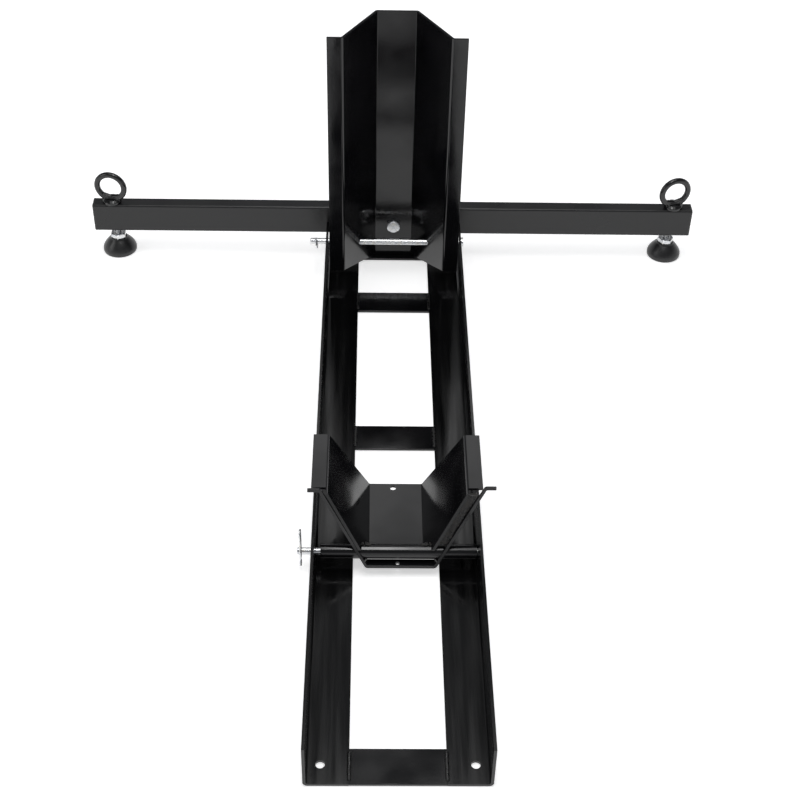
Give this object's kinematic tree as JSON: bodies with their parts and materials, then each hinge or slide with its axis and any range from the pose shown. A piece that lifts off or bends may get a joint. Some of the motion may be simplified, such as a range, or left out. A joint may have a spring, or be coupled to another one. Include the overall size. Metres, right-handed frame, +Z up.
{
  "type": "motorcycle wheel chock",
  "caption": "Motorcycle front-wheel chock with a folding tyre trough, a rocker between two rails and a stabiliser cross-bar on levelling feet.",
  "frame": {"origin": "centre of the whole object's footprint, on the floor plane", "axes": "+Z up from the floor; +Y from the entry edge towards the cross-bar; +X to the right when facing the upright from the entry edge"},
  "size_m": [0.808, 0.8896, 0.3638],
  "materials": {
    "black_powder_coat": "gloss",
    "black_plastic": "satin",
    "zinc_plate": "satin",
    "black_enamel": "gloss"
  },
  "bodies": {
    "base": {"left_rail": "black_powder_coat", "right_rail": "black_powder_coat", "entry_plate": "black_powder_coat", "front_crosspiece": "black_powder_coat", "rear_crosspiece": "black_powder_coat", "upright_seat_plate": "black_powder_coat", "base_welds": "black_powder_coat", "upright_pin": "zinc_plate", "upright_pin_clip": "zinc_plate", "pivot_pin": "zinc_plate", "pivot_pin_clip": "zinc_plate"},
    "upright": {"upright_trough": "black_powder_coat", "cross_bar": "black_powder_coat", "left_end_cap": "black_plastic", "right_end_cap": "black_plastic", "bar_bolt": "zinc_plate", "bar_bolt_washer": "zinc_plate", "bar_bolt_nut": "zinc_plate", "bar_weld_nuts": "zinc_plate", "left_eye_bolt": "black_enamel", "right_eye_bolt": "black_enamel"},
    "rocker": {"rocker_pivot_tube": "black_powder_coat", "rocker_trough": "black_powder_coat", "rocker_near_band": "black_powder_coat", "rocker_welds": "black_powder_coat"},
    "left_foot": {"left_foot_pad": "black_plastic"},
    "left_stud": {"left_foot_screw": "zinc_plate"},
    "right_foot": {"right_foot_pad": "black_plastic"},
    "right_stud": {"right_foot_screw": "zinc_plate"}
  },
  "joints": [
    {"name": "upright_fold", "type": "hinge", "parent": "base", "child": "upright", "pos_m": [0, 0.3762, 0.0475], "axis": [1, 0, 0], "range_deg": [0, 90]},
    {"name": "rocker_tilt", "type": "hinge", "parent": "base", "child": "rocker", "pos_m": [0, -0.1652, 0.0224], "axis": [1, 0, 0], "range_deg": [-3, 70]},
    {"name": "left_foot_height", "type": "slide", "parent": "upright", "child": "left_foot", "axis": [0, 0, 1], "range_m": [-0.008, 0.007]},
    {"name": "left_foot_turn", "type": "hinge", "parent": "left_foot", "child": "left_stud", "pos_m": [-0.375, 0.4222, 0.03], "axis": [0, 0, 1], "range_deg": [-1921, 1681]},
    {"name": "right_foot_height", "type": "slide", "parent": "upright", "child": "right_foot", "axis": [0, 0, 1], "range_m": [-0.008, 0.007]},
    {"name": "right_foot_turn", "type": "hinge", "parent": "right_foot", "child": "right_stud", "pos_m": [0.375, 0.4222, 0.03], "axis": [0, 0, 1], "range_deg": [-1921, 1681]}
  ],
  "couplings": [
    {"joint": "left_foot_turn", "follows": "left_foot_height", "rad_per_m": 4188.8},
    {"joint": "right_foot_turn", "follows": "right_foot_height", "rad_per_m": 4188.8}
  ]
}
